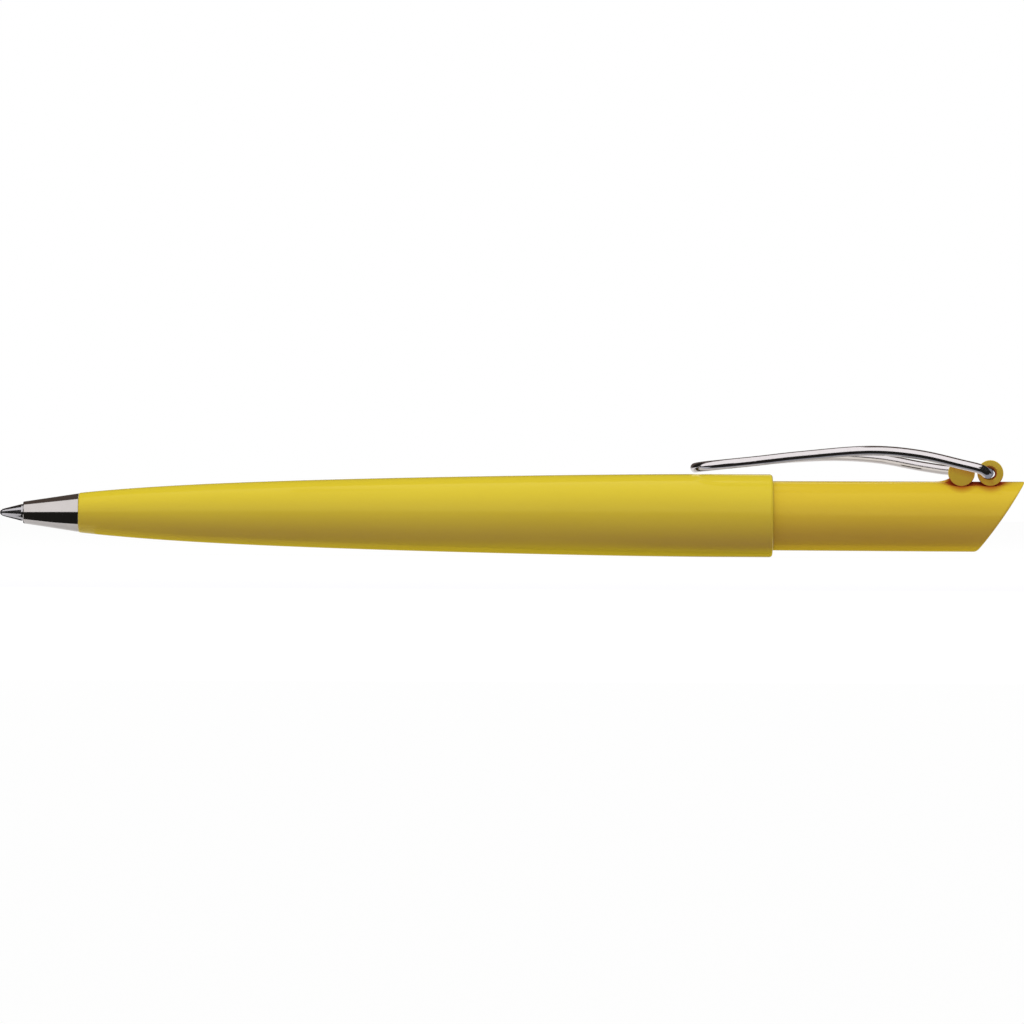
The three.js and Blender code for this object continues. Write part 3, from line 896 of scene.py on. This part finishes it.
inner = {
    "refill_adapter": carrier_plastic,
    "refill_tube": tube_plastic,
    "ink_column": ink_paste,
    "refill_tail_plug": plug_plastic,
    "guide_sleeve": latch_plastic,
    "cam_rotor": rotor_plastic,
    "plunger": latch_plastic,
}
for node, finish in inner.items():
    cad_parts[node].data.materials.clear()
    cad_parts[node].data.materials.append(finish)


# Camera. From here on, lengths are in metres in the row frame.

camera_distance = 1.2316
camera_centre = Vector((0.00007, 0, 0.00603))
roll = math.radians(0.26)
right = Vector((math.cos(roll), 0, math.sin(roll)))
up = Vector((-math.sin(roll), 0, math.cos(roll)))
back = Vector((0, -1, 0))
camera_data = bpy.data.cameras.new("camera")
camera_data.sensor_width = 36
camera_data.lens = 316.4
camera_data.clip_start = 0.01
camera_data.clip_end = 50
camera = bpy.data.objects.new("camera", camera_data)
bpy.context.scene.collection.objects.link(camera)
turned_to = Matrix((right, up, back)).transposed().to_4x4()
camera.matrix_world = Matrix.Translation(camera_centre + back * camera_distance) @ turned_to
bpy.context.scene.camera = camera


# Studio: floor, softbox, and dark cards that give the metal its bands

def stage_mesh(name, points, faces, material):
    mesh = bpy.data.meshes.new(name)
    mesh.from_pydata([tuple(p) for p in points], [], faces)
    made = bpy.data.objects.new(name, mesh)
    bpy.context.scene.collection.objects.link(made)
    mesh.materials.append(material)
    return made


def grid_faces(columns, rows):
    """Faces of a sheet whose points stand in columns, each one point longer than its rows."""
    starts = (c * (rows + 1) + r for c in range(columns - 1) for r in range(rows))
    return [(a, a + 1, a + rows + 2, a + rows + 1) for a in starts]


def seen_by(made, *rays):
    """Limits a stage object to the named kinds of ray."""
    for ray in ("camera", "diffuse", "glossy", "transmission", "shadow"):
        setattr(made, "visible_" + ray, ray in rays)


def glow(name, colour, beyond=None, one_sided=False):
    """A plain light or card. Beyond is a distance and the colour from further away than that."""
    made = bpy.data.materials.new(name)
    nodes = Nodes(made)
    light = nodes.node("ShaderNodeEmission")
    nodes.put(colour, light.inputs["Color"])
    surface = light.outputs["Emission"]
    if beyond:
        path = nodes.node("ShaderNodeLightPath")
        further = nodes.maths("GREATER_THAN", path.outputs["Ray Length"], beyond[0])
        nodes.put(nodes.mix(further, colour, beyond[1]), light.inputs["Color"])
    if one_sided:
        geometry = nodes.node("ShaderNodeNewGeometry")
        clear = nodes.node("ShaderNodeBsdfTransparent")
        surface = nodes.blend(geometry.outputs["Backfacing"], surface, clear.outputs["BSDF"])
    nodes.show(surface)
    return made


def background_share(nodes, to_camera, to_metal):
    """How white the background is to camera rays, and to glossy and transmission rays."""
    path = nodes.node("ShaderNodeLightPath").outputs
    metal = nodes.maths("MAXIMUM", path["Is Glossy Ray"], path["Is Transmission Ray"])
    metal = nodes.maths("MULTIPLY", metal, to_metal)
    return nodes.maths("MULTIPLY_ADD", path["Is Camera Ray"], to_camera, metal)


floor_white = bpy.data.materials.new("floor_white")
nodes = Nodes(floor_white)
matt = nodes.node("ShaderNodeBsdfDiffuse")
nodes.put((0.78, 0.78, 0.77), matt.inputs["Color"])
white = nodes.node("ShaderNodeEmission")
nodes.put(1.03, white.inputs["Strength"])
least_white = 0.3
share = nodes.maths("MAXIMUM", background_share(nodes, 0.9, 0.18), least_white)
nodes.show(nodes.blend(share, matt.outputs["BSDF"], white.outputs["Emission"]))
floor_half = 6.0
stage_mesh(
    "floor",
    [(floor_half * x, floor_half * y, 0) for x, y in ((-1, -1), (1, -1), (1, 1), (-1, 1))],
    [(0, 1, 2, 3)],
    floor_white,
)


def curved_sheet(name, radius, columns, rows, material, *rays):
    """A sheet bent about the pen. Columns are (x, low angle, high angle), in degrees from the
    camera's side up over the pen."""
    points = [
        (x, -radius * math.cos(turn), axis_height + radius * math.sin(turn))
        for x, low, high in columns
        for turn in np.radians(np.linspace(low, high, rows + 1))
    ]
    seen_by(stage_mesh(name, points, grid_faces(len(columns), rows), material), *rays)


curved_sheet(
    "softbox",
    0.5,
    [
        (-9, 4.5, 90),
        (-0.24, 4.5, 90),
        (-0.194, 5.5, 91.3),
        (-0.135, 8.5, 97.6),
        (-0.092, 9.5, 101),
        (-0.077, 9.5, 104),
        (0.006, 9.7, 110.6),
        (0.0363, 10, 113),
        (0.0502, 10, 113.5),
        (0.0504, 3, 81.3),
        (0.07, 3, 81.3),
        (0.0946, 3, 91.4),
        (0.8, 3, 91.4),
    ],
    16,
    glow("softbox_light", (1.1, 1.085, 1.08)),
    "diffuse", "glossy", "transmission",
)
curved_sheet(
    "dark_flag",
    0.55,
    [(-9.5, 12, 178.6), (3, 12, 178.6)],
    32,
    glow("flag_brown", (0.1, 0.078, 0.066)),
    "glossy",
)

card_far = -0.53
card_top = 0.15
lift = 0.0001


def front_card(name, near_edge, material, *rays):
    """A card on the floor in front of the pen, from its near edge's (x, y) points to a rise."""
    points = [
        point
        for x, y in near_edge
        for point in ((x, y, lift), (x, card_far, lift), (x, card_far, card_top))
    ]
    seen_by(stage_mesh(name, points, grid_faces(len(near_edge), 2), material), *rays)


def flat_card(name, corners, material):
    seen_by(stage_mesh(name, corners, [tuple(range(len(corners)))], material), "glossy")


def on_floor(left, right, near, far, height=lift):
    return [(left, near, height), (right, near, height), (right, far, height), (left, far, height)]


def upright(left, right, y, low, high):
    return [(left, y, low), (right, y, low), (right, y, high), (left, y, high)]


def endways(x, near, far, high):
    return [(x, near, 0), (x, far, 0), (x, far, high), (x, near, high)]


black = (0.016, 0.0155, 0.014)
grey = (0.36, 0.37, 0.4)
black_card = glow("card_black", black)
nose_edge = [
    (-0.8, 0.5),
    (-0.0851, 0.5),
    (-0.085, -0.0125),
    (-0.0735, -0.0125),
    (-0.07, -0.0022),
    (-0.064, -0.0022),
    (-0.0597, -0.0034),
    (-0.0576, -0.0034),
]
card_start = -0.0575
card_end = 0.16
card_edge = -0.0092
under_edge = -0.0019
front_card(
    "front_card", [*nose_edge, (card_start, card_edge), (0.8, card_edge)], black_card, "glossy"
)
front_card(
    "front_glow",
    [*nose_edge, (-0.042, -0.003), (0.005, -0.0044), (0.03, -0.0038), (0.8, -0.0038)],
    glow("card_blue", (0.28, 0.18, 1.35), one_sided=True),
    "diffuse",
)
before_tip = -0.026
flat_card("card_behind_tip", on_floor(-0.085, -0.0678, 0.0015, 0.5), black_card)
flat_card("card_before_tip", upright(-0.2, -0.0785, before_tip, 0, 0.027), black_card)
flat_card("card_left_of_tip", endways(-0.15, before_tip, 0.2, 0.25), black_card)
# Close reflections, in the pen's own underside, differ from those in the wire above it.
close = 0.0095
flat_card(
    "card_beside_pen",
    on_floor(card_start, card_end, card_edge, under_edge),
    glow("card_grey", black, beyond=(close, grey)),
)
flat_card(
    "card_under_pen",
    [(card_start, under_edge, lift), (0.075, under_edge, lift), (0.075, 0.002, lift),
     (0.01, 0.004, lift), (card_start, 0.016, lift)],
    glow("card_warm", (0.6, 0.46, 0.05), beyond=(close, (0.62, 0.58, 0.54))),
)
flat_card(
    "card_before_hook", on_floor(0.075, card_end, under_edge, 0.03), glow("card_shade", grey)
)
flat_card(
    "card_before_bend",
    on_floor(-0.02, 0.019, -0.017, card_edge, 2 * lift),
    glow("card_light", black, beyond=(0.0135, (0.5, 0.52, 0.56))),
)
# The clip's wire shows these sheets, and not the refill or the far side of the lug.
over_refill = axis_height + 0.0034
flat_card(
    "card_over_refill",
    [(-0.03, -0.0036, over_refill), (0.035, -0.0042, over_refill), (0.035, -0.0032, over_refill),
     (0.06, -0.0032, over_refill), (0.06, 0.0044, over_refill), (-0.03, 0.0036, over_refill)],
    glow("card_over", (0.62, 0.6, 0.56)),
)
hook_card = -(lug_half - 0.05) * MM
hook_low, hook_high = (axis_height + (hole_height + rise) * MM for rise in (-1.3, 1.3))
hook_left, hook_right = (tip + (rear_lug + run) * MM for run in (-0.9, 1.6))
flat_card(
    "card_behind_hook",
    upright(hook_left, hook_right, hook_card, hook_low, hook_high),
    glow("card_hook", (0.2, 0.21, 0.25)),
)
flat_card(
    "card_under_hook",
    on_floor(hook_left, hook_right, -0.0041, hook_card, hook_low),
    glow("card_hook_light", (0.3, 0.32, 0.37)),
)
flat_card("card_right", endways(card_end, -0.6, 0.6, 0.2), black_card)

# A pale sheet through the pen's middle, under the far leg, that only the leg's near side shows.
liner_y = 0.0004
liner_bottom = -4.5
liner_gap = 0.5
far_leg = smooth_curve(clip_points, 2)
far_leg = far_leg[far_leg[:, 1] > leg_side - 0.05]
far_leg = far_leg[np.argsort(far_leg[:, 0])]
liner = stage_mesh(
    "card_behind_leg",
    [
        (tip + along * MM, liner_y, axis_height + z * MM)
        for along, _, height in far_leg
        for z in (liner_bottom, height - liner_gap)
    ],
    grid_faces(len(far_leg), 1),
    glow("card_beige", (0.9, 0.87, 0.79), one_sided=True),
)
seen_by(liner, "glossy")


def fill_light(name, angle, energy, colour, height):
    """A wide lamp that the metal doesn't show, at an angle up over the pen."""
    lamp = bpy.data.lights.new(name, "AREA")
    lamp.shape = "RECTANGLE"
    lamp.size = 1.0
    lamp.size_y = height
    lamp.energy = energy
    lamp.color = colour
    turn = math.radians(angle)
    out = Vector((0, -math.cos(turn), math.sin(turn)))
    fill = bpy.data.objects.new(name, lamp)
    bpy.context.scene.collection.objects.link(fill)
    facing = out.to_track_quat("Z", "X").to_matrix().to_4x4()
    fill.matrix_world = Matrix.Translation(out * 0.9) @ facing
    fill.visible_camera = False
    fill.visible_glossy = False


fill_light("top_fill", 75, 2.0, (1, 1, 1), 0.6)
fill_light("front_fill", 9, 0.75, (0.95, 1.0, 0.75), 0.2)

world = bpy.data.worlds.new("studio")
bpy.context.scene.world = world
nodes = Nodes(world)
skies = []
for strength in (0.7, 1.0):
    sky = nodes.node("ShaderNodeBackground")
    nodes.put((1, 1, 1), sky.inputs["Color"])
    nodes.put(strength, sky.inputs["Strength"])
    skies.append(sky.outputs["Background"])
nodes.show(nodes.blend(background_share(nodes, 1.0, 1.0), *skies), "ShaderNodeOutputWorld")
bpy.context.scene.view_settings.view_transform = "Standard"

# The metal shows the white studio and not the yellow mouldings, as in the photograph.
barrel.visible_glossy = False
pusher.visible_glossy = False
clip.visible_shadow = False
clip.visible_diffuse = False
